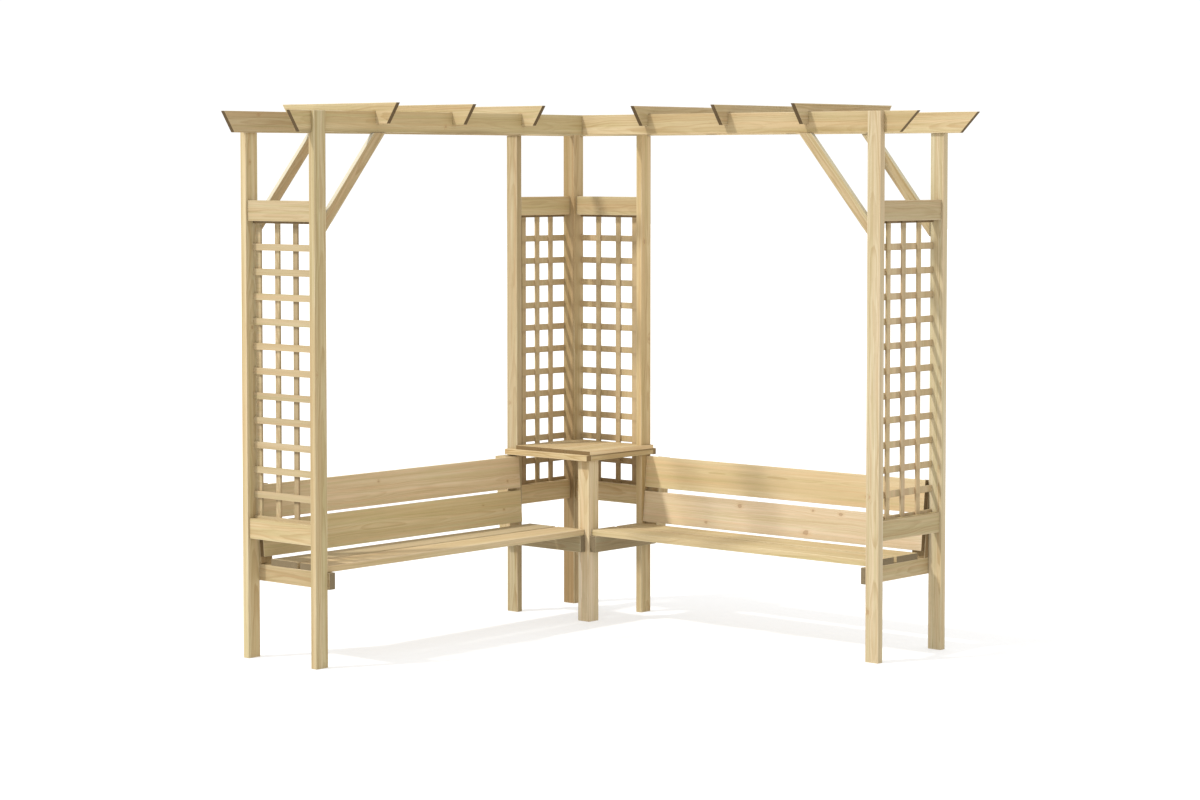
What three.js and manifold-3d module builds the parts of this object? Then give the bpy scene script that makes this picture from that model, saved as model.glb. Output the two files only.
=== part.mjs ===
// Corner arbour seat of planed softwood: two benches at a right angle, a square corner
// table, four trellis end panels and six open rafters over four beams.
// Millimetres, +Z up. The plan is laid out in u (along the left wing, away from the
// inner corner post) and v (along the right wing); +X is v and -Y is u.
import * as THREE from 'three';

// ---------------------------------------------------------------- driving dimensions
const GAP = 0.3;                 // clearance kept between faces that touch
const POST_W = 58, POST_T = 28;  // post section
const POST_TOP = 2011;
const BEAM_T = 18, BEAM_Z0 = 1933, BEAM_Z1 = 2011, LAP_Z = 1972;
const RAFT_T = 18, RAFT_Z0 = 1965, RAFT_Z1 = 2042;
const TOP_RAIL = [1611, 1686];
const END_RAIL = [444, 518], CORNER_RAIL = [438, 515];
const SEAT_Z0 = 344, SEAT_T = 24, SEAT_W_LEFT = 140, SEAT_W_RIGHT = 135;
const BEARER_Z0 = 283;
const RECLINE_LEFT = 4.5 * Math.PI / 180, RECLINE_RIGHT = 5.5 * Math.PI / 180, BACK_T = 19;
const BACK_TOP_LEFT = 638, BACK_TOP_RIGHT = 629;
const TABLE_Z0 = 666, TABLE_T = 15, STRIP_Z0 = 643;
const LATH_T = 7.7, LATH_H = 24.7, LATH_W = 23;
const ROWS = [1602, 1503, 1412, 1321, 1230, 1139, 1048, 957, 867, 776, 685, 594, 503];

// post positions: [u0, u1, v0, v1]
const P = {
  LO: [1726, 1784, -41, -13], LI: [1726, 1784, 323, 351],
  RI: [322, 350, 1739, 1797], RO: [-76, -48, 1740, 1798],
  PL: [294, 322, -77, -21.3], B: [-58, 0, -58, 0],
  PR: [-58, 0, 337.5, 365.5], F: [263, 321, 308, 366],
};
// beams: the face range across and the run along
const BFL = { v: [319.2, 337.2], u: [-58, 1839, 1888] };   // front, left wing
const BBL = { v: [-21, -3], u: [0.3, 1845, 1894] };         // back, left wing
const BFR = { u: [310, 328], v: [-77, 1864, 1944] };        // front, right wing
const BBR = { u: [-56, -38], v: [0.3, 1877, 1954] };        // back, right wing

// overall box in the plan, for the origin at its middle
const UMIN = -200, UMAX = 1894, VMIN = -165, VMAX = 1954;
const UC = (UMIN + UMAX) / 2, VC = (VMIN + VMAX) / 2;

// ---------------------------------------------------------------- solid helpers
const at = (u, v, z) => [v - VC, -(u - UC), z];

function solidFrom(pos, tri) {
  let vol = 0;
  const p = i => pos[i];
  for (const [a, b, c] of tri) {
    const A = p(a), B_ = p(b), C = p(c);
    vol += A[0] * (B_[1] * C[2] - B_[2] * C[1]) - A[1] * (B_[0] * C[2] - B_[2] * C[0]) + A[2] * (B_[0] * C[1] - B_[1] * C[0]);
  }
  const idx = [];
  for (const [a, b, c] of tri) vol > 0 ? idx.push(a, b, c) : idx.push(a, c, b);
  const g = new THREE.BufferGeometry();
  g.setAttribute('position', new THREE.Float32BufferAttribute(pos.flat(), 3));
  g.setIndex(idx);
  return g;
}

// closed prism of a simple polygon; axis is the direction it runs in
function prism(axis, poly, a0, a1) {
  const n = poly.length;
  const put = (q, a) => axis === 'u' ? at(a, q[0], q[1]) : axis === 'v' ? at(q[0], a, q[1]) : at(q[0], q[1], a);
  const pos = [...poly.map(q => put(q, a0)), ...poly.map(q => put(q, a1))];
  const contour = poly.map(q => new THREE.Vector2(q[0], q[1]));
  const ccw = THREE.ShapeUtils.isClockWise(contour) ? -1 : 1;
  const caps = THREE.ShapeUtils.triangulateShape(contour, []);
  const tri = [];
  for (const f of caps) { tri.push([f[0], f[2], f[1]]); tri.push([f[0] + n, f[1] + n, f[2] + n]); }
  // the sides have to run the same way round as the caps
  const area = caps.length ? Math.sign(cross2(contour, caps[0])) : 1;
  for (let i = 0; i < n; i++) {
    const j = (i + 1) % n;
    if (area * ccw > 0) tri.push([i, j, j + n], [i, j + n, i + n]);
    else tri.push([j, i, j + n], [i, i + n, j + n]);
  }
  return solidFrom(pos, tri);
}
function cross2(c, f) {
  const a = c[f[0]], b = c[f[1]], d = c[f[2]];
  return (b.x - a.x) * (d.y - a.y) - (b.y - a.y) * (d.x - a.x);
}
const rect = (a0, a1, b0, b1) => [[a0, b0], [a1, b0], [a1, b1], [a0, b1]];
const block = (u0, u1, v0, v1, z0, z1) => prism('z', rect(u0, u1, v0, v1), z0, z1);

// bar profile along a run with slots cut in from the top or the bottom
function slotted(a0, aBottom, aTop, z0, z1, slots) {
  const top = slots.filter(s => s.from === 'top').sort((p, q) => q.a[0] - p.a[0]);
  const bot = slots.filter(s => s.from === 'bottom').sort((p, q) => p.a[0] - q.a[0]);
  const pts = [];
  const start = Array.isArray(a0) ? a0 : [a0, a0];     // [bottom, top]
  if (!(bot.length && bot[0].a[0] <= start[0])) pts.push([start[0], z0]);
  for (const s of bot) {
    if (s.a[0] <= start[0]) pts.push([start[0], s.z], [s.a[1], s.z], [s.a[1], z0]);
    else pts.push([s.a[0], z0], [s.a[0], s.z], [s.a[1], s.z], [s.a[1], z0]);
  }
  pts.push([aBottom, z0], [aTop, z1]);
  for (const s of top) {
    if (s.a[0] <= start[1]) pts.push([s.a[1], z1], [s.a[1], s.z], [start[1], s.z]);
    else pts.push([s.a[1], z1], [s.a[1], s.z], [s.a[0], s.z], [s.a[0], z1]);
  }
  if (!(top.length && top[top.length - 1].a[0] <= start[1])) pts.push([start[1], z1]);
  return pts;
}

// ---------------------------------------------------------------- union by manifold
import Module from 'manifold-3d';
import { mergeVertices } from 'three/addons/utils/BufferGeometryUtils.js';
const wasm = await Module(); wasm.setup();
function toManifold(g) {
  const m = mergeVertices(g, 1e-4);
  return new wasm.Manifold(new wasm.Mesh({
    numProp: 3,
    vertProperties: new Float32Array(m.attributes.position.array),
    triVerts: new Uint32Array(m.index.array),
  }));
}
function union(list) {
  let r = null;
  for (const g of list) { const m = toManifold(g); r = r ? r.add(m) : m; }
  const o = r.getMesh();
  const g = new THREE.BufferGeometry();
  g.setAttribute('position', new THREE.BufferAttribute(new Float32Array(o.vertProperties), 3));
  g.setIndex(new THREE.BufferAttribute(new Uint32Array(o.triVerts), 1));
  return g;
}

// ---------------------------------------------------------------- assembly
const root = new THREE.Group();
root.name = 'corner_arbour_seat';
const TONE = { frame: 0xd9c08c, board: 0xd2b782, lath: 0xcfb98c };
function add(name, geometry, tone) {
  const g = geometry.index ? geometry.toNonIndexed() : geometry;
  g.computeVertexNormals();
  const mesh = new THREE.Mesh(g, new THREE.MeshStandardMaterial({ color: TONE[tone], roughness: 0.75, metalness: 0 }));
  mesh.name = name;
  root.add(mesh);
}

// posts; the tops are cut back where a beam is let in
{
  const zb = BEAM_Z0 - GAP;
  const lo = P.LO, li = P.LI, ri = P.RI, ro = P.RO, pl = P.PL, pr = P.PR;
  add('post_left_outer', prism('u', [[lo[2], 0], [lo[3], 0], [lo[3], zb], [BBL.v[0] - GAP, zb], [BBL.v[0] - GAP, POST_TOP], [lo[2], POST_TOP]], lo[0], lo[1]), 'frame');
  add('post_left_inner', prism('u', [[li[2], 0], [li[3], 0], [li[3], POST_TOP], [BFL.v[1] + GAP, POST_TOP], [BFL.v[1] + GAP, zb], [li[2], zb]], li[0], li[1]), 'frame');
  add('post_right_inner', prism('v', [[ri[0], 0], [ri[1], 0], [ri[1], POST_TOP], [BFR.u[1] + GAP, POST_TOP], [BFR.u[1] + GAP, zb], [ri[0], zb]], ri[2], ri[3]), 'frame');
  add('post_right_outer', prism('v', [[ro[0], 0], [ro[1], 0], [ro[1], zb], [BBR.u[0] - GAP, zb], [BBR.u[0] - GAP, POST_TOP], [ro[0], POST_TOP]], ro[2], ro[3]), 'frame');
  add('post_corner_left', prism('v', [[pl[0], 0], [pl[1], 0], [pl[1], zb], [BFR.u[0] - GAP, zb], [BFR.u[0] - GAP, POST_TOP], [pl[0], POST_TOP]], pl[2], pl[3]), 'frame');
  add('post_corner_back', block(...P.B, 0, POST_TOP), 'frame');
  add('post_corner_right', prism('v', [[pr[0], 0], [pr[1], 0], [pr[1], POST_TOP], [BBR.u[1] + GAP, POST_TOP], [BBR.u[1] + GAP, zb], [pr[0], zb]], pr[2], pr[3]), 'frame');
  add('post_table_front', block(...P.F, 0, TABLE_Z0 - GAP), 'frame');
}

// beams with halved crossings at the corner
{
  const hi = LAP_Z, lo = LAP_Z + GAP;
  const cu = [BFR.u[0] - GAP, BFR.u[1] + GAP];
  add('beam_front_left', prism('v', slotted(BFL.u[0], BFL.u[1], BFL.u[2], BEAM_Z0, BEAM_Z1,
    [{ from: 'top', a: cu, z: hi }, { from: 'top', a: [BFL.u[0], BBR.u[1] + GAP], z: hi }]), BFL.v[0], BFL.v[1]), 'frame');
  add('beam_back_left', prism('v', slotted(BBL.u[0], BBL.u[1], BBL.u[2], BEAM_Z0, BEAM_Z1,
    [{ from: 'top', a: cu, z: hi }]), BBL.v[0], BBL.v[1]), 'frame');
  add('beam_front_right', prism('u', slotted(BFR.v[0], BFR.v[1], BFR.v[2], BEAM_Z0, BEAM_Z1,
    [{ from: 'bottom', a: [BFL.v[0] - GAP, BFL.v[1] + GAP], z: lo }, { from: 'bottom', a: [BBL.v[0] - GAP, BBL.v[1] + GAP], z: lo }]), BFR.u[0], BFR.u[1]), 'frame');
  add('beam_back_right', prism('u', slotted(BBR.v[0], BBR.v[1], BBR.v[2], BEAM_Z0, BEAM_Z1,
    [{ from: 'bottom', a: [BFL.v[0] - GAP, BFL.v[1] + GAP], z: lo }]), BBR.u[0], BBR.u[1]), 'frame');
}

// rafters notched down over the beams, ends sloped
{
  const zn = BEAM_Z1 + GAP;
  const L = [[1462, 'a'], [1061, 'b'], [678, 'c']];
  for (const [u, k] of L) {
    add('rafter_left_' + k, prism('u', slotted([VMIN + 54, VMIN], 393, 445, RAFT_Z0, RAFT_Z1,
      [{ from: 'bottom', a: [BBL.v[0] - GAP, BBL.v[1] + GAP], z: zn }, { from: 'bottom', a: [BFL.v[0] - GAP, BFL.v[1] + GAP], z: zn }]), u - RAFT_T, u), 'frame');
  }
  const R = [[678, 'a'], [1074, 'b'], [1454, 'c']];
  for (const [v, k] of R) {
    add('rafter_right_' + k, prism('v', slotted([UMIN + 54, UMIN], 359, 413, RAFT_Z0, RAFT_Z1,
      [{ from: 'bottom', a: [BBR.u[0] - GAP, BBR.u[1] + GAP], z: zn }, { from: 'bottom', a: [BFR.u[0] - GAP, BFR.u[1] + GAP], z: zn }]), v - RAFT_T, v), 'frame');
  }
}

// diagonal braces between the outer posts and the beams
{
  const zt = BEAM_Z0 - GAP;
  const ul = P.LO[0] - GAP, vr = P.RI[2] - GAP, vo = P.RO[2] - GAP;
  const T = 19;
  add('brace_left_front', prism('v', [[ul, 1564], [ul, 1632], [1474, zt], [1416, zt]], 341 - T, 341), 'frame');
  add('brace_left_back', prism('v', [[ul, 1557], [ul, 1621], [1465, zt], [1410, zt]], -8 - T, -8), 'frame');
  add('brace_right_front', prism('u', [[vr, 1550], [vr, 1615], [1470, zt], [1413, zt]], 334 - T, 334), 'frame');
  add('brace_right_back', prism('u', [[vo, 1548], [vo, 1617], [1482, zt], [1425, zt]], -43 - T, -43), 'frame');
}

// panel rails
const RL = { u: [1751.3, 1776], v: [P.LO[3] + GAP, P.LI[2] - GAP] };
const RR = { v: [1762, 1790], u: [P.RO[1] + GAP, P.RI[0] - GAP] };
const RPL = { v: [-44, -22], u: [P.B[1] + GAP, P.PL[0] - GAP] };
const RPR = { u: [-38, -13], v: [P.B[3] + GAP, P.PR[2] - GAP] };
for (const [n, r, b] of [['left_end', RL, END_RAIL], ['right_end', RR, END_RAIL], ['corner_left', RPL, CORNER_RAIL], ['corner_right', RPR, CORNER_RAIL]]) {
  add('rail_top_' + n, block(...r.u, ...r.v, ...TOP_RAIL), 'frame');
  add('rail_bottom_' + n, block(...r.u, ...r.v, ...b), 'frame');
}

// trellis panels: thirteen level laths and three upright laths fixed together
function trellis(kind, run, layerRows, layerUp, ups) {
  const parts = [];
  for (const z of ROWS) {
    parts.push(kind === 'u' ? block(...layerRows, ...run, z, z + LATH_H) : block(...run, ...layerRows, z, z + LATH_H));
  }
  for (const [a, b] of ups) {
    parts.push(kind === 'u' ? block(...layerUp, a, b, ROWS[12], ROWS[0] + LATH_H) : block(a, b, ...layerUp, ROWS[12], ROWS[0] + LATH_H));
  }
  return union(parts);
}
add('trellis_left_end', trellis('u', RL.v, [1743.3, 1751], [1735.6, 1743.7], [[-3, 21], [98, 121], [195, 218]]), 'lath');
add('trellis_right_end', trellis('v', RR.u, [1746.2, 1754.4], [1754, 1761.7], [[233, 256], [138, 161], [40, 63]]), 'lath');
add('trellis_corner_left', trellis('v', RPL.u, [-59.4, -51.4], [-51.8, -44.3], [[243, 266], [161, 184], [80, 103]]), 'lath');
add('trellis_corner_right', trellis('u', RPR.v, [-53.4, -45.4], [-45.8, -38.3], [[87, 110], [194, 217], [282, 305]]), 'lath');

// seat bearers
const BL = [P.LO[0] - GAP - POST_T, P.LO[0] - GAP];
const BR = [P.RI[2] - GAP - POST_T, P.RI[2] - GAP];
const CL = [P.PL[1] + GAP, P.PL[1] + GAP + POST_T];
const CR = [P.F[3] + GAP, P.F[3] + GAP + POST_T];
add('bearer_left_end', block(...BL, P.LO[2], 360, BEARER_Z0, SEAT_Z0), 'frame');
add('bearer_right_end', block(P.RO[0], 340, ...BR, BEARER_Z0, SEAT_Z0), 'frame');
add('bearer_corner_left', block(...CL, P.PL[2], 347, BEARER_Z0 - 4, SEAT_Z0), 'frame');
add('bearer_corner_right', block(P.PR[0], 315, ...CR, BEARER_Z0 - 4, SEAT_Z0), 'frame');

// seat slats
{
  const z0 = SEAT_Z0 + GAP, z1 = z0 + SEAT_T;
  add('seat_left_back', block(P.PL[1] + GAP, P.LO[0] - GAP, 48, 48 + SEAT_W_LEFT, z0, z1), 'board');
  add('seat_left_front', block(P.PL[1] + GAP, P.LO[0] - GAP, 203, 203 + SEAT_W_LEFT, z0, z1), 'board');
  add('seat_right_back', block(19, 19 + SEAT_W_RIGHT, P.F[3] + GAP, P.RI[2] - GAP, z0, z1), 'board');
  add('seat_right_front', block(171, 171 + SEAT_W_RIGHT, P.F[3] + GAP, P.RI[2] - GAP, z0, z1), 'board');
}

// reclined backrests: uprights on the bearers and two boards on each bench
{
  const z0 = SEAT_Z0 + GAP;
  const upright = (f, a, top) => {
    const w = POST_W / Math.cos(a), d = (top - z0) * Math.tan(a);
    return [[f, z0], [f - w, z0], [f - w - d, top], [f - d, top]];
  };
  // an outer upright is notched over its bearer and runs down beside it
  const notched = (axis, f, a, top, r0, rb, r1) => {
    const g = prism(axis, [[r0, BEARER_Z0], [rb, BEARER_Z0], [rb, z0], [r1, z0], [r1, top], [r0, top]], -POST_W / Math.cos(a), 0);
    const p = g.attributes.position;
    for (let i = 0; i < p.count; i++) {
      const s = f - (p.getZ(i) - z0) * Math.tan(a);
      if (axis === 'v') p.setX(i, p.getX(i) + s);
      else p.setY(i, p.getY(i) - s);
    }
    return g;
  };
  const board = (f, a, s0, s1) => {
    const c = Math.cos(a), s = Math.sin(a);
    const q = (n, k) => [f + n * c - k * s, z0 + k * c + n * s];
    return [q(GAP, s0), q(GAP + BACK_T, s0), q(GAP + BACK_T, s1), q(GAP, s1)];
  };
  const fl = -7, fr = -24.6, al = RECLINE_LEFT, ar = RECLINE_RIGHT;
  add('back_upright_left_outer', notched('v', fl, al, BACK_TOP_LEFT, BL[1] - POST_W, BL[0] - GAP, BL[1]), 'frame');
  add('back_upright_left_corner', prism('u', upright(fl, al, BACK_TOP_LEFT), CL[0], CL[0] + POST_W), 'frame');
  add('back_upright_right_outer', notched('u', fr, ar, BACK_TOP_RIGHT, BR[1] - POST_W, BR[0] - GAP, BR[1]), 'frame');
  add('back_upright_right_corner', prism('v', upright(fr, ar, BACK_TOP_RIGHT), CR[0], CR[0] + POST_W), 'frame');
  add('back_board_left_lower', prism('u', board(fl, al, 26.3, 155), 325, 1725.5), 'board');
  add('back_board_left_upper', prism('u', board(fl, al, 165, 292), 325, 1725.5), 'board');
  add('back_board_right_lower', prism('v', board(fr, ar, 25.4, 150), P.F[3] + GAP, 1735), 'board');
  add('back_board_right_upper', prism('v', board(fr, ar, 166, 292), P.F[3] + GAP, 1735), 'board');
}

// corner table
{
  const z0 = TABLE_Z0 + GAP, z1 = z0 + TABLE_T, e = 332, w = -37.9;
  add('table_board_back', prism('z', [[e, -18.5], [e, 112.5], [w, 112.5], [w, 0.4], [0.4, 0.4], [0.4, -18.5]], z0, z1), 'board');
  add('table_board_middle', prism('z', rect(w, e, 115.5, 246.5), z0, z1), 'board');
  add('table_board_front', prism('z', [[e, 249.5], [e, 381], [-58, 381], [-58, P.PR[3] + 0.4], [0.4, P.PR[3] + 0.4], [0.4, P.PR[2] - 0.4], [w, P.PR[2] - 0.4], [w, 249.5]], z0, z1), 'board');
  add('table_strip_left', block(P.PL[1] + GAP, 349, -66, 379, STRIP_Z0, TABLE_Z0), 'frame');
  add('table_strip_front', block(-58, P.PL[1], P.F[3] + GAP, 379, STRIP_Z0, TABLE_Z0), 'frame');
  add('table_strip_right', block(-76.3, -58.3, -58, 379, STRIP_Z0 - 2, TABLE_Z0), 'frame');
  add('table_batten_back', block(GAP, 27.3, -43.5, 364, STRIP_Z0, TABLE_Z0), 'frame');
}

export default root;
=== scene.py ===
import math
import random

import bpy
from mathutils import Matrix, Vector

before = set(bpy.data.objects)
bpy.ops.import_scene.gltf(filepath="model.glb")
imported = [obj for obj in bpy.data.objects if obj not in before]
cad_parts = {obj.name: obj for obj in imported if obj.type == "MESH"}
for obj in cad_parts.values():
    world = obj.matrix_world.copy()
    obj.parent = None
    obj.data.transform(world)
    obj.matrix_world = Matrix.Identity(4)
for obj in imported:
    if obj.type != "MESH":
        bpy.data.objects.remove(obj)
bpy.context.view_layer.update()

scene = bpy.context.scene
scene.view_settings.view_transform = "Standard"
scene.view_settings.look = "None"
scene.view_settings.exposure = 0.0
scene.view_settings.gamma = 1.0


# ---------------------------------------------------------------- node graphs
class Graph:
    """One material's node graph, written as plain expressions."""

    def __init__(self, name):
        self.mat = bpy.data.materials.new(name)
        self.mat.use_nodes = True
        self.tree = self.mat.node_tree
        self.tree.nodes.clear()
        self.out = self.tree.nodes.new("ShaderNodeOutputMaterial")
        self.bsdf = self.tree.nodes.new("ShaderNodeBsdfPrincipled")
        self.tree.links.new(self.bsdf.outputs[0], self.out.inputs[0])

    def put(self, socket, value):
        if isinstance(value, bpy.types.NodeSocket):
            self.tree.links.new(value, socket)
        elif value is not None:
            socket.default_value = value

    def m(self, op, a, b=None, c=None, clamp=False):
        n = self.tree.nodes.new("ShaderNodeMath")
        n.operation, n.use_clamp = op, clamp
        for i, v in enumerate((a, b, c)):
            self.put(n.inputs[i], v)
        return n.outputs[0]

    def v(self, op, a, b=None, scale=None):
        n = self.tree.nodes.new("ShaderNodeVectorMath")
        n.operation = op
        self.put(n.inputs[0], a)
        self.put(n.inputs[1], b)
        if scale is not None:
            self.put(n.inputs["Scale"], scale)
        return n.outputs["Value" if op in ("DOT_PRODUCT", "LENGTH", "DISTANCE") else "Vector"]

    def xyz(self, x, y, z):
        n = self.tree.nodes.new("ShaderNodeCombineXYZ")
        for i, v in enumerate((x, y, z)):
            self.put(n.inputs[i], v)
        return n.outputs[0]

    def split(self, vec):
        n = self.tree.nodes.new("ShaderNodeSeparateXYZ")
        self.put(n.inputs[0], vec)
        return n.outputs[0], n.outputs[1], n.outputs[2]

    def step(self, value, lo, hi, to_lo=0.0, to_hi=1.0):
        n = self.tree.nodes.new("ShaderNodeMapRange")
        n.interpolation_type = "SMOOTHSTEP"
        for i, v in enumerate((value, lo, hi, to_lo, to_hi)):
            self.put(n.inputs[i], v)
        return n.outputs[0]

    def noise(self, vec, detail=2.0, rough=0.5, colour=False):
        n = self.tree.nodes.new("ShaderNodeTexNoise")
        n.noise_dimensions = "3D"
        self.put(n.inputs["Vector"], vec)
        n.inputs["Scale"].default_value = 1.0
        n.inputs["Detail"].default_value = detail
        n.inputs["Roughness"].default_value = rough
        return n.outputs["Color" if colour else "Fac"]

    def hashed(self, w):
        n = self.tree.nodes.new("ShaderNodeTexWhiteNoise")
        n.noise_dimensions = "1D"
        self.put(n.inputs["W"], w)
        return n.outputs["Value"]

    def mix(self, f, a, b, blend="MIX"):
        n = self.tree.nodes.new("ShaderNodeMix")
        n.data_type, n.blend_type = "RGBA", blend
        self.put(n.inputs[0], f)
        self.put(n.inputs[6], a if isinstance(a, bpy.types.NodeSocket) else (*a, 1.0))
        self.put(n.inputs[7], b if isinstance(b, bpy.types.NodeSocket) else (*b, 1.0))
        return n.outputs[2]

    def mixv(self, f, a, b):
        n = self.tree.nodes.new("ShaderNodeMix")
        n.data_type = "VECTOR"
        self.put(n.inputs[0], f)
        self.put(n.inputs[4], a)
        self.put(n.inputs[5], b)
        return n.outputs[1]

    def grey(self, value):
        return self.xyz(value, value, value)


# ---------------------------------------------------------------- planed softwood
# albedo of spring wood, summer wood, a knot, its bark ring and the sawn ends
EARLY = (0.560, 0.438, 0.252)
LATE = (0.440, 0.310, 0.150)
KNOT = (0.340, 0.205, 0.105)
BARK = (0.240, 0.140, 0.070)
SAWN = (0.200, 0.152, 0.086)


def local_axes(g, n2):
    g = Vector(g).normalized()
    n2 = Vector(n2)
    n2 = (n2 - g * n2.dot(g)).normalized()
    return g, n2.cross(g).normalized(), n2


def measure(obj, axes):
    spans = [[v.co.dot(a) for v in obj.data.vertices] for a in axes]
    centre = sum((a * ((min(s) + max(s)) / 2) for a, s in zip(axes, spans)), Vector())
    return centre, [(max(s) - min(s)) / 2 for s in spans]


def to_local(g, pos, axes, centre, shift):
    rel = g.v("SUBTRACT", pos, tuple(centre))
    return g.xyz(*[g.m("ADD", g.v("DOT_PRODUCT", rel, tuple(a)), s) for a, s in zip(axes, shift)])


def softwood(name, local, grain, half, rng, tint=(1.0, 1.0, 1.0), knots=(), ring=0.0040,
             lift=0.0, figure=1.0, tone=None, end=True, edge=True, sawn=1.0, foot=None, layer_hue_and_shade=None, warm_ends=False, lit=None, along=None):
    """Planed softwood. local is the place along, across and through the piece, in metres."""
    g = name if isinstance(name, Graph) else Graph(name)
    s, a, b = g.split(local)
    seed = rng.uniform(-40, 40)

    # the log's heart lies off to one side; its line wanders a little
    pa = rng.uniform(-0.55, 0.55) * half[1]
    pb = -(half[2] + rng.uniform(0.018, 0.060))
    lean_a, lean_b = rng.uniform(-0.010, 0.010), rng.uniform(-0.012, 0.012)
    slow = g.noise(g.xyz(g.m("MULTIPLY_ADD", s, 1.6, seed), g.m("MULTIPLY", a, 3.0), g.m("MULTIPLY", b, 3.0)), 2.0, 0.5, colour=True)
    wa, wb, wc = g.split(slow)
    da = g.m("ADD", g.m("MULTIPLY_ADD", s, lean_a, -pa), g.m("MULTIPLY_ADD", wa, 0.050, -0.025))
    da = g.m("ADD", da, a)
    db = g.m("ADD", g.m("MULTIPLY_ADD", s, lean_b, -pb), g.m("MULTIPLY_ADD", wb, 0.044, -0.022))
    db = g.m("ADD", db, b)
    radius = g.m("SQRT", g.m("ADD", g.m("MULTIPLY", da, da), g.m("MULTIPLY", db, db)))

    # knots run through the thickness and push the rings aside
    q = None
    for ks, ka, kr in knots:
        rel = g.v("MULTIPLY", g.v("SUBTRACT", local, (ks, ka, 0.0)), (rng.uniform(0.55, 0.85) / kr, 1.0 / kr, 0.10 / kr))
        d = g.v("LENGTH", rel)
        q = d if q is None else g.m("MINIMUM", q, d)
    if q is not None:
        wob = g.noise(g.v("SCALE", local, scale=160.0), 1.0)
        q = g.m("ADD", q, g.m("MULTIPLY_ADD", wob, 1.0, -0.5))
        swell = g.step(q, 1.0, 5.0, 1.0, 0.0)
        radius = g.m("ADD", radius, g.m("MULTIPLY", g.m("MULTIPLY", swell, swell), 0.0055))

    fine = g.noise(g.xyz(g.m("MULTIPLY", s, 7.0), g.m("MULTIPLY_ADD", a, 70.0, seed), g.m("MULTIPLY", b, 70.0)), 2.0)
    turn = g.m("MULTIPLY_ADD", radius, 1.0 / ring, g.m("MULTIPLY_ADD", fine, 0.9, seed))
    count = g.m("FLOOR", turn)
    part = g.m("SUBTRACT", turn, count)
    year = g.hashed(count)
    late = g.m("MULTIPLY", g.step(part, 0.25, 0.90), g.step(part, 0.92, 1.0, 1.0, 0.0))
    late = g.m("MULTIPLY", late, g.m("MULTIPLY_ADD", year, 0.65, 0.35))

    # broad streaks, fibres, short resin marks and blotches
    streak = g.noise(g.xyz(g.m("MULTIPLY_ADD", s, 1.1, -seed), g.m("MULTIPLY", a, 38.0), g.m("MULTIPLY", b, 38.0)), 3.0, 0.55)
    fibre = g.noise(g.xyz(g.m("MULTIPLY", s, 14.0), g.m("MULTIPLY_ADD", a, 820.0, seed), g.m("MULTIPLY", b, 820.0)), 2.0, 0.6)
    dash = g.noise(g.xyz(g.m("MULTIPLY_ADD", s, 26.0, seed), g.m("MULTIPLY", a, 420.0), g.m("MULTIPLY", b, 420.0)), 1.0, 0.5)
    dash = g.step(dash, 0.64, 0.76)
    blotch = g.noise(g.v("MULTIPLY", g.v("ADD", local, (seed, 0.0, 0.0)), (3.5, 9.0, 9.0)), 2.0, 0.6)

    narrow = g.noise(g.xyz(g.m("MULTIPLY_ADD", s, 2.4, seed), g.m("MULTIPLY", a, 165.0), g.m("MULTIPLY", b, 165.0)), 2.0, 0.6)
    early = tuple(c * t * (1 + lift) for c, t in zip(EARLY, tint))
    summer = tuple(c * t * (1 + lift) for c, t in zip(LATE, tint))
    col = g.mix(g.m("MULTIPLY", late, 0.62 * figure), early, summer)
    warm = g.step(streak, 0.34, 0.68)
    col = g.mix(g.m("MULTIPLY", warm, 0.55 * figure), col, (0.86, 0.80, 0.70), "MULTIPLY")
    pale = g.step(streak, 0.50, 0.30)
    col = g.mix(g.m("MULTIPLY", pale, 0.16), col, tuple(c * t for c, t in zip((0.66, 0.56, 0.38), tint)))
    col = g.mix(g.m("MULTIPLY", g.step(narrow, 0.44, 0.72), 0.42 * figure), col, (0.84, 0.79, 0.70), "MULTIPLY")
    green = g.step(blotch, 0.48, 0.72)
    col = g.mix(g.m("MULTIPLY", green, 0.30), col, (0.90, 0.945, 0.86), "MULTIPLY")
    band = g.noise(g.xyz(g.m("MULTIPLY_ADD", s, 0.9, seed + 7.0), g.m("MULTIPLY", a, 85.0), g.m("MULTIPLY", b, 85.0)), 2.0, 0.55)
    col = g.mix(g.m("MULTIPLY", g.step(band, 0.50, 0.66), 0.75), col, (0.92, 0.945, 0.86), "MULTIPLY")
    col = g.mix(g.m("MULTIPLY", g.step(band, 0.50, 0.34), 0.75), col, (1.05, 0.985, 0.97), "MULTIPLY")
    rosy = g.step(wc, 0.50, 0.72)
    col = g.mix(g.m("MULTIPLY", rosy, 0.25), col, (1.03, 0.965, 0.93), "MULTIPLY")
    shade = g.m("MULTIPLY_ADD", fibre, 0.24, 0.88)
    if tone is not None:
        shade = g.m("MULTIPLY", shade, tone)
    col = g.mix(1.0, col, g.grey(shade), "MULTIPLY")
    col = g.mix(g.m("MULTIPLY", dash, 0.22 * figure), col, (0.66, 0.56, 0.44), "MULTIPLY")
    if q is not None:
        halo = g.step(q, 3.2, 0.9)
        col = g.mix(g.m("MULTIPLY", halo, 0.30), col, (0.86, 0.72, 0.56), "MULTIPLY")
        heart = g.step(q, 1.05, 0.70)
        col = g.mix(g.m("MULTIPLY", heart, 0.55), col, KNOT)
        rim = g.m("MULTIPLY", g.step(q, 0.62, 0.92), g.step(q, 1.20, 0.96))
        col = g.mix(g.m("MULTIPLY", rim, 0.34), col, BARK)
        late = g.m("MAXIMUM", late, heart)

    rough = g.m("MULTIPLY_ADD", late, -0.10, 0.74)
    rough = g.m("MULTIPLY_ADD", fibre, 0.10, rough)
    height = g.m("ADD", g.m("MULTIPLY", fibre, 0.55), g.m("MULTIPLY", late, 0.45))

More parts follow.
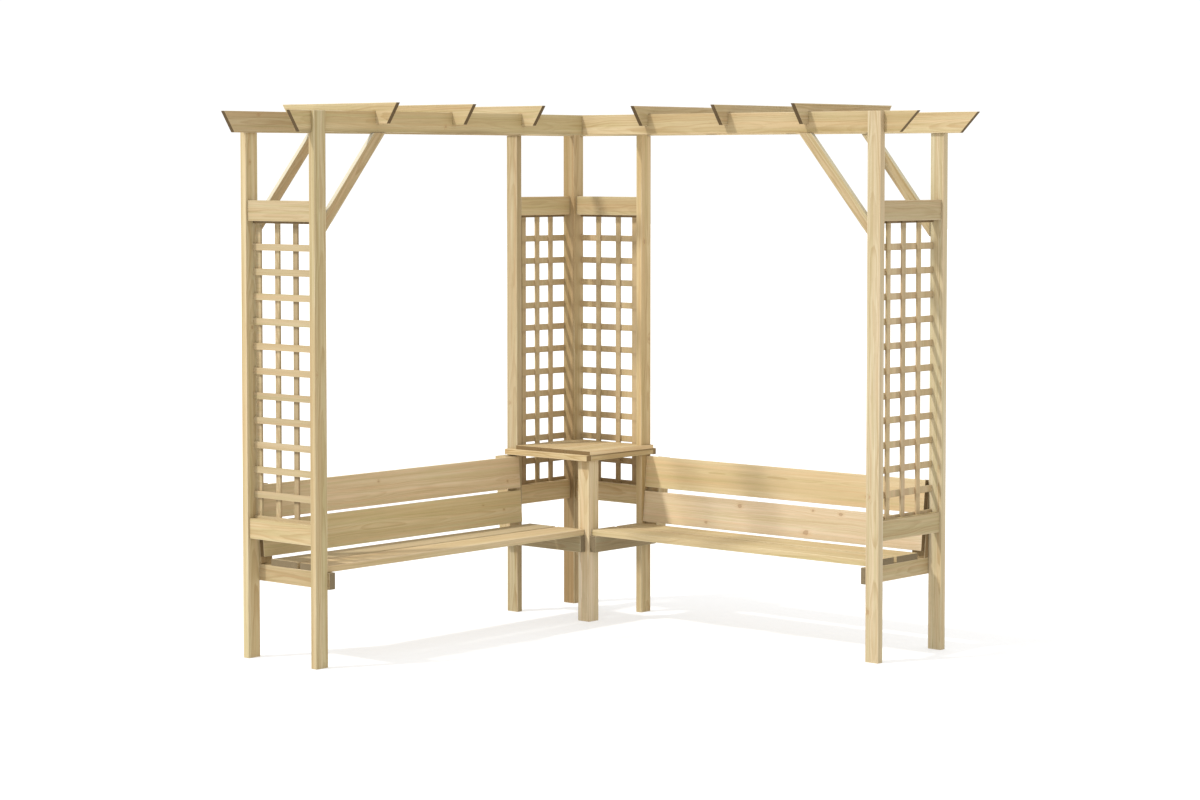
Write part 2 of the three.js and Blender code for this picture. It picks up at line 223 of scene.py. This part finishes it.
    if layer_hue_and_shade is not None:
        col = g.mix(1.0, col, layer_hue_and_shade, "MULTIPLY")
    if lit is not None:
        # painted light or shade on the faces that look one way
        normal, face_light_colour, blend = lit
        geo = g.tree.nodes.new("ShaderNodeNewGeometry")
        up = g.step(g.v("DOT_PRODUCT", geo.outputs["True Normal"], normal), 0.60, 0.85)
        col = g.mix(g.m("MULTIPLY", up, 0.85 if blend == "MIX" else 1.0), col, face_light_colour, blend)
    if along is not None:
        # the colour deepens or pales towards one end; on most pieces this is painted shade or painted light
        place, start, stop, turned = along
        span = abs(stop - start)
        col = g.mix(g.step(g.m("ADD", place, g.m("MULTIPLY_ADD", streak, 0.6 * span, -0.3 * span)), start, stop), col, turned, "MULTIPLY")
    if foot is not None:
        # greyer or darker below a soft line; where it darkens the corner posts under the seats and table it is painted
        # shade
        level, height_m, shade_to = foot
        low = g.step(g.m("ADD", level, g.m("MULTIPLY_ADD", blotch, 0.04, -0.02)), height_m + 0.012, height_m - 0.012)
        col = g.mix(low, col, shade_to, "MULTIPLY")

    if edge:
        # the arrises are rubbed and take dirt: second smallest distance to a face plane
        ds = g.m("SUBTRACT", half[0], g.m("ABSOLUTE", s))
        ea = g.m("SUBTRACT", half[1], g.m("ABSOLUTE", a))
        eb = g.m("SUBTRACT", half[2], g.m("ABSOLUTE", b))
        mid = g.m("MAXIMUM", g.m("MINIMUM", ea, eb), g.m("MINIMUM", g.m("MAXIMUM", ea, eb), ds))
        ragged = g.noise(g.v("MULTIPLY", local, (22.0, 160.0, 160.0)), 2.0)
        mid = g.m("ADD", mid, g.m("MULTIPLY_ADD", ragged, 0.0030, -0.0015))
        worn = g.step(mid, 0.0032, 0.0006)
        col = g.mix(g.m("MULTIPLY", worn, g.step(blotch, 0.42, 0.62, 0.10, 0.55)), col, (0.64, 0.53, 0.36))
        rough = g.m("MULTIPLY_ADD", worn, 0.08, rough)

    if end:
        geo = g.tree.nodes.new("ShaderNodeNewGeometry")
        facing = g.m("ABSOLUTE", g.v("DOT_PRODUCT", geo.outputs["True Normal"], tuple(grain)))
        cut = g.step(facing, 0.50, 0.72)
        angle = g.m("ARCTAN2", da, db)
        check = g.noise(g.xyz(g.m("MULTIPLY", angle, 60.0), g.m("MULTIPLY", radius, 30.0), seed), 2.0, 0.6)
        check = g.step(check, 0.64, 0.70)
        saw = g.noise(g.v("MULTIPLY", local, (300.0, 900.0, 120.0)), 1.0)
        cutface = tuple(min(c * sawn, e * 0.92) for c, e in zip((0.150, 0.098, 0.042) if warm_ends else SAWN, early))
        raw = g.mix(g.m("MULTIPLY", late, 0.55), cutface, tuple(c * 0.66 for c in cutface))
        raw = g.mix(g.m("MULTIPLY", check, 0.60), raw, (0.40, 0.36, 0.32), "MULTIPLY")
        raw = g.mix(1.0, raw, g.grey(g.m("MULTIPLY_ADD", saw, 0.34, 0.83)), "MULTIPLY")
        col = g.mix(cut, col, raw)
        rough = g.m("MAXIMUM", rough, g.m("MULTIPLY", cut, 0.90))
        height = g.m("ADD", height, g.m("MULTIPLY", g.m("MULTIPLY", cut, g.m("SUBTRACT", saw, check)), 0.8))

    bump = g.tree.nodes.new("ShaderNodeBump")
    bump.inputs["Strength"].default_value = 0.35
    bump.inputs["Distance"].default_value = 0.0006
    g.put(bump.inputs["Height"], height)
    g.put(g.bsdf.inputs["Normal"], bump.outputs[0])
    g.put(g.bsdf.inputs["Base Color"], col)
    g.put(g.bsdf.inputs["Roughness"], rough)
    g.bsdf.inputs["Specular IOR Level"].default_value = 0.30
    return g.mat


# ---------------------------------------------------------------- which way the grain runs
X, Y, Z = Vector((1, 0, 0)), Vector((0, 1, 0)), Vector((0, 0, 1))
LEAN_L, LEAN_R = math.radians(4.5), math.radians(5.5)
UP_L = Vector((-math.sin(LEAN_L), 0, math.cos(LEAN_L)))
UP_R = Vector((0, math.sin(LEAN_R), math.cos(LEAN_R)))
OUT_L = Vector((math.cos(LEAN_L), 0, math.sin(LEAN_L)))
OUT_R = Vector((0, -math.cos(LEAN_R), math.sin(LEAN_R)))
# direction of the grain and the normal of the wide face
GRAIN = [
    ("post_left_outer", Z, X), ("post_left_inner", Z, X), ("post_corner_left", Z, Y), ("post_corner_right", Z, X),
    ("post_right_inner", Z, Y), ("post_right_outer", Z, Y), ("post_corner_back", Z, X), ("post_table_front", Z, Y),
    ("beam_front_left", Y, X), ("beam_back_left", Y, X), ("beam_front_right", X, Y), ("beam_back_right", X, Y),
    ("rafter_left", X, Y), ("rafter_right", Y, X),
    ("brace_left_front", Vector((0, 251.7, 300.7)), X), ("brace_left_back", Vector((0, 260.7, 311.7)), X),
    ("brace_right_front", Vector((-268.7, 0, 317.7)), Y), ("brace_right_back", Vector((-257.7, 0, 315.7)), Y),
    ("rail_top_left_end", X, Y), ("rail_bottom_left_end", X, Y), ("rail_top_right_end", Y, X), ("rail_bottom_right_end", Y, X),
    ("rail_top_corner_left", Y, X), ("rail_bottom_corner_left", Y, X), ("rail_top_corner_right", X, Y), ("rail_bottom_corner_right", X, Y),
    ("bearer_left_end", X, Y), ("bearer_corner_left", X, Y), ("bearer_right_end", Y, X), ("bearer_corner_right", Y, X),
    ("seat_left", Y, Z), ("seat_right", X, Z),
    ("back_upright_left", UP_L, Y), ("back_upright_right", UP_R, X),
    ("back_board_left", Y, OUT_L), ("back_board_right", X, OUT_R),
    ("table_board", Y, Z),
    ("table_strip_left", X, Y), ("table_strip_front", Y, X), ("table_strip_right", X, Y), ("table_batten_back", X, Y),
]
# pieces that came from a paler, pinker or greyer plank; the frame timber is a shade deeper than the boards. Some
# entries are painted shade: the back corner post, the bearers under the seats, the outer back uprights beside the
# posts and the back slat of the left seat.
TINT = {
    "post_right_inner": (0.95, 1.04, 1.23),
    "post_right_outer": (0.98, 1.10, 1.29),
    "post_left_inner": (0.82, 0.87, 0.89),
    "post_left_outer": (0.96, 1.02, 1.06),
    "post_corner_left": (0.78, 0.81, 0.86),
    "post_corner_right": (0.955, 0.955, 0.92),
    # painted shade on the back corner post, behind the trellis and under the table
    "post_corner_back": (0.85, 0.85, 0.83),
    "post_table_front": (1.09, 1.16, 1.325),
    "back_board_right_lower": (1.18, 1.225, 1.43),
    "back_board_right_upper": (1.175, 1.195, 1.20),
    "back_board_left_upper": (1.09, 1.11, 1.20),
    "back_board_left_lower": (1.04, 1.09, 1.07),
    "rail_top_left_end": (0.82, 0.85, 0.90),
    "rail_bottom_left_end": (0.86, 0.885, 0.88),
    "rail_top_right_end": (0.74, 0.745, 0.755),
    "rail_bottom_right_end": (0.72, 0.735, 0.70),
    "rail_top_corner_left": (0.91, 0.92, 0.87),
    "rail_top_corner_right": (0.81, 0.815, 0.80),
    "rail_bottom_corner_left": (1.0, 1.0, 0.98),
    "rail_bottom_corner_right": (1.0, 1.0, 1.0),
    # painted shade under the seats: the corner bearers are darkened
    "bearer_corner_left": (0.55, 0.58, 0.60),
    "bearer_corner_right": (0.52, 0.55, 0.57),
    "beam_front_left": (0.83, 0.85, 0.80),
    "beam_back_left": (0.79, 0.79, 0.78),
    "beam_back_right": (0.92, 0.94, 0.95),
    "beam_front_right": (0.80, 0.80, 0.76),
    "rafter_left": (0.92, 0.945, 0.95),
    "brace_left": (0.74, 0.73, 0.71),
    "brace_right": (0.78, 0.81, 0.84),
    # painted shade beside the end posts: the outer back uprights are darkened
    "back_upright_left_outer": (0.58, 0.52, 0.43),
    "back_upright_right_outer": (0.46, 0.43, 0.38),
    "table_strip_left": (1.02, 1.04, 1.03),
    "table_strip_front": (0.92, 0.94, 0.90),
    "post": (0.80, 0.82, 0.83), "beam": (0.80, 0.81, 0.81), "rafter": (0.83, 0.84, 0.85), "rail": (0.80, 0.81, 0.81),
    "bearer": (0.80, 0.81, 0.82), "back_upright": (0.82, 0.82, 0.82), "table_strip": (0.80, 0.80, 0.79), "table_batten": (0.80, 0.80, 0.80),
    # painted shade on the back slat of the left seat
    "seat_left_back": (0.83, 0.87, 0.94), "seat_left_front": (0.94, 0.955, 0.99), "seat_right": (0.91, 0.94, 0.95),
    "seat": (1.02, 1.02, 1.02), "table_board": (0.90, 0.90, 0.885), "back_board": (0.98, 0.98, 0.98),
}
# painted light and shade on the faces that look one way: their direction, their colour and how it blends
LIT = {
    "brace_left": ((0.0, -0.767, 0.642), (0.56, 0.53, 0.42), "MIX"),
    "brace_right": ((0.763, 0.0, 0.646), (0.50, 0.46, 0.33), "MIX"),
    "post_corner_back": ((0.0, -1.0, 0.0), (0.80, 0.755, 0.69), "MULTIPLY"),
    "seat_left_front": ((1.0, 0.0, 0.0), (0.95, 0.94, 0.91), "MULTIPLY"),
    "table_board_front": ((1.0, 0.0, 0.0), (1.38, 1.43, 1.58), "MULTIPLY"),
}
# lower parts that are greyer or darker: height and colour. The table post's foot is a greyer tone; on the corner posts
# the darkening is painted shade below the seats and the table; the front left beam is darker along its bottom.
FOOT = {
    "post_table_front": (0.275, (0.965, 1.0, 1.07)),
    "post_corner_left": (0.300, (0.90, 0.91, 0.91)),
    "post_corner_right": (0.300, (0.88, 0.91, 0.96)),
    "post_corner_back": (0.650, (0.76, 0.74, 0.70)),
    "beam_front_left": (1.939, (0.74, 0.75, 0.76)),
}
# pieces whose colour changes along one axis: axis, start, stop and colour. On the back boards it is painted shade
# towards the outer ends, on the front right beam painted light over part of its length; the front table strip is
# darker along its top, under the board.
ALONG = {
    "back_board_right_upper": (0, -0.15, 0.05, (0.85, 0.855, 0.88)),
    "back_board_right_lower": (0, -0.35, -0.15, (0.89, 0.91, 0.96)),
    "back_board_left_upper": (1, -0.50, -0.75, (0.91, 0.92, 0.90)),
    "back_board_left_lower": (1, -0.50, -0.75, (0.84, 0.82, 0.80)),
    "beam_front_right": (0, -0.18, -0.32, (1.17, 1.21, 1.32)),
    "table_strip_front": (2, 0.6590, 0.6630, (0.52, 0.46, 0.36)),
}
# how pale the sawn ends have stayed, against the darkest ones
ENDS = {"beam": 0.74, "rafter": 0.74, "brace": 3.2, "back_upright": 2.4, "table_board": 1.4, "table_strip": 1.6, "table_batten": 1.6, "post": 1.5,
        "seat": 0.95, "bearer": 0.95}


# how strongly the grain shows
FIGURE = {"post": 1.55, "beam": 1.35, "rafter": 1.30, "rail": 1.35, "brace": 1.35, "bearer": 1.2, "table": 1.7}


def longest_prefix(table, name, default):
    hits = [k for k in table if name.startswith(k)]
    return table[max(hits, key=len)] if hits else default
# knots where they can be seen: along and across from the middle of the piece, and radius
KNOTS = {
    "back_board_right_lower": [(-0.190, 0.039, 0.0075), (-0.355, -0.039, 0.0050), (0.142, -0.038, 0.0085), (0.304, 0.044, 0.0055), (0.170, 0.048, 0.0045)],
    "back_board_right_upper": [(0.42, -0.020, 0.0040)],
}

# three level-lath panels share one way of working: level and upright laths lie in two layers. The layer further back
# gets a darker hue as painted shade.
TRELLIS = {
    "trellis_left_end": (X, Y, -0.8967, -1, (0.78, 0.80, 0.83), (0.66, 0.655, 0.66), 0.55),
    "trellis_right_end": (Y, X, 0.8596, -1, (0.68, 0.695, 0.70), (0.80, 0.80, 0.84), 0.30),
    "trellis_corner_left": (Y, X, -0.9461, -1, (0.72, 0.75, 0.75), (0.82, 0.82, 0.82), 0.30),
    "trellis_corner_right": (X, Y, 0.8926, 1, (0.74, 0.77, 0.77), (0.86, 0.85, 0.85), 0.30),
}


def nearest_grain(name):
    return next((g, n) for prefix, g, n in GRAIN if name.startswith(prefix))


def random_knots(rng, half, board):
    found = []
    spots = int(half[0] * 2 / (0.55 if board else 0.62))
    for _ in range(spots):
        if rng.random() < 0.50:
            found.append((rng.uniform(-0.94, 0.94) * half[0], rng.uniform(-0.78, 0.78) * half[1], rng.uniform(0.0024, 0.0055)))
    return found[:4]


for order, (name, obj) in enumerate(sorted(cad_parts.items())):
    rng = random.Random(7100 + order * 17)
    g = Graph("wood_" + name)
    coord = g.tree.nodes.new("ShaderNodeTexCoord")
    pos = coord.outputs["Object"]
    if name in TRELLIS:
        run, through, split, side, hue_level, hue_up, lath_shadow_strength = TRELLIS[name]
        level_axes = local_axes(run, through)
        up_axes = local_axes(Z, through)
        centre, half = measure(obj, up_axes)
        row = g.m("ROUND", g.m("DIVIDE", g.m("SUBTRACT", g.v("DOT_PRODUCT", pos, (0, 0, 1)), 0.515), 0.091))
        column = g.m("ADD", g.m("ROUND", g.m("DIVIDE", g.v("DOT_PRODUCT", pos, tuple(run)), 0.088)), 40.0)
        layer = g.m("MULTIPLY", g.m("SUBTRACT", g.v("DOT_PRODUCT", pos, tuple(through)), split), side)
        is_level = g.m("GREATER_THAN", layer, 0.0)
        index = g.m("ADD", g.m("MULTIPLY", row, is_level), g.m("MULTIPLY", column, g.m("SUBTRACT", 1.0, is_level)))
        each = g.hashed(g.m("ADD", index, order * 3.0))
        level = to_local(g, pos, level_axes, centre, (0, 0, 0))
        upright = to_local(g, pos, up_axes, centre, (0, 0, 0))
        local = g.mixv(is_level, upright, level)
        # each lath is cut from its own place in the plank
        local = g.v("ADD", local, g.xyz(g.m("MULTIPLY", each, 9.0), 0.0, g.m("MULTIPLY", each, 0.03)))
        tone = g.m("MULTIPLY_ADD", each, 0.16, 0.92)
        grain = tuple(run)
        height = g.split(pos)[2]
        # painted shadow: each level lath darkens the upright laths just below it
        below = g.m("SUBTRACT", g.m("MULTIPLY_ADD", row, 0.091, 0.5035), height)
        lath_shadow = g.m("MULTIPLY", g.step(below, 0.020, 0.004), g.step(below, -0.004, 0.001))
        lath_shadow = g.m("MULTIPLY", g.m("MULTIPLY", lath_shadow, g.m("SUBTRACT", 1.0, is_level)), lath_shadow_strength)
        hue = g.mix(is_level, hue_up, hue_level)
        hue = g.mix(lath_shadow, hue, (0.50, 0.46, 0.42), "MULTIPLY")
        # painted shadow under the top rail, on the lath row behind it
        rail_shadow = g.m("MULTIPLY", g.step(height, 1.6010, 1.6030), g.step(height, 1.6125, 1.6105))
        hue = g.mix(rail_shadow, hue, (0.44, 0.39, 0.32), "MULTIPLY")
        if "corner" in name:
            # painted shade below the table
            hue = g.mix(g.step(height, 0.672, 0.648), hue, (0.80, 0.77, 0.74), "MULTIPLY")
        mat = softwood(g, local, grain, half, rng, ring=0.0034, figure=0.8, tone=tone, end=False, edge=False, layer_hue_and_shade=hue)
        width, segments = 0.0009, 2
    else:
        grain, wide = nearest_grain(name)
        axes = local_axes(grain, wide)
        centre, half = measure(obj, axes)
        board = name.startswith(("seat_", "back_board", "table_board"))
        knots = KNOTS.get(name) or random_knots(rng, half, board)
        flip = rng.choice((-1, 1))
        axes_used = (axes[0], axes[1], axes[2] * flip)
        local = to_local(g, pos, axes_used, centre, (0, 0, 0))
        mat = softwood(g, local, axes[0], half, rng, tint=longest_prefix(TINT, name, (1.0, 1.0, 1.0)), knots=knots,
                       ring=rng.uniform(0.0032, 0.0050), lift=rng.uniform(-0.025, 0.025), figure=longest_prefix(FIGURE, name, 1.0),
                       sawn=longest_prefix(ENDS, name, 1.0), foot=(g.split(pos)[2], *FOOT[name]) if name in FOOT else None,
                       warm_ends=name.startswith(("back_board", "beam", "rafter", "table")), lit=longest_prefix(LIT, name, None),
                       along=(g.split(pos)[ALONG[name][0]], *ALONG[name][1:]) if name in ALONG else None)
        width, segments = (0.0016, 3) if min(half) > 0.008 else (0.0012, 3)
    if obj.material_slots:
        for slot in obj.material_slots:
            slot.material = mat
    else:
        obj.data.materials.append(mat)
    # the faces come apart at every edge, so they are joined before the arris is rounded
    joined = obj.modifiers.new("joined", "WELD")
    joined.merge_threshold = 0.00002
    bevel = obj.modifiers.new("arris", "BEVEL")
    bevel.width, bevel.segments = width, segments
    bevel.limit_method, bevel.angle_limit = "ANGLE", math.radians(30)

# ---------------------------------------------------------------- floor, light and camera
mesh = bpy.data.meshes.new("floor")
mesh.from_pydata([(-60, -60, 0), (60, -60, 0), (60, 60, 0), (-60, 60, 0)], [], [(0, 1, 2, 3)])
floor = bpy.data.objects.new("floor", mesh)
scene.collection.objects.link(floor)
pale = Graph("pale_floor")
pale.bsdf.inputs["Base Color"].default_value = (0.50, 0.50, 0.50, 1.0)
pale.bsdf.inputs["Emission Color"].default_value = (1.0, 1.0, 1.0, 1.0)
pale.bsdf.inputs["Emission Strength"].default_value = 0.50
pale.bsdf.inputs["Roughness"].default_value = 0.9
pale.bsdf.inputs["Specular IOR Level"].default_value = 0.1
mesh.materials.append(pale.mat)

world = bpy.data.worlds.new("studio")
scene.world = world
world.use_nodes = True
back = world.node_tree.nodes["Background"]
back.inputs["Color"].default_value = (1.0, 1.0, 1.0, 1.0)
back.inputs["Strength"].default_value = 1.06

sun = bpy.data.lights.new("key", "SUN")
sun.energy = 2.75
sun.angle = math.radians(5.0)
sun.color = (1.0, 0.985, 0.96)
key = bpy.data.objects.new("key", sun)
scene.collection.objects.link(key)
key.rotation_mode = "QUATERNION"
key.rotation_quaternion = Vector((0.32, 0.57, -0.755)).to_track_quat("-Z", "Y")

cam_data = bpy.data.cameras.new("camera")
cam = bpy.data.objects.new("camera", cam_data)
scene.collection.objects.link(cam)
cam_data.sensor_fit = "HORIZONTAL"
cam_data.sensor_width = 36.0
cam_data.lens = 86.475
cam_data.shift_x = 0.0
cam_data.shift_y = -0.07
cam_data.clip_start, cam_data.clip_end = 0.1, 300.0
cam.location = (7.0159, -8.0005, 1.8142)
yaw, pitch = 2.2913, -0.05228
look = Vector((math.cos(yaw) * math.cos(pitch), math.sin(yaw) * math.cos(pitch), math.sin(pitch)))
cam.rotation_mode = "QUATERNION"
cam.rotation_quaternion = look.to_track_quat("-Z", "Y")
scene.camera = cam
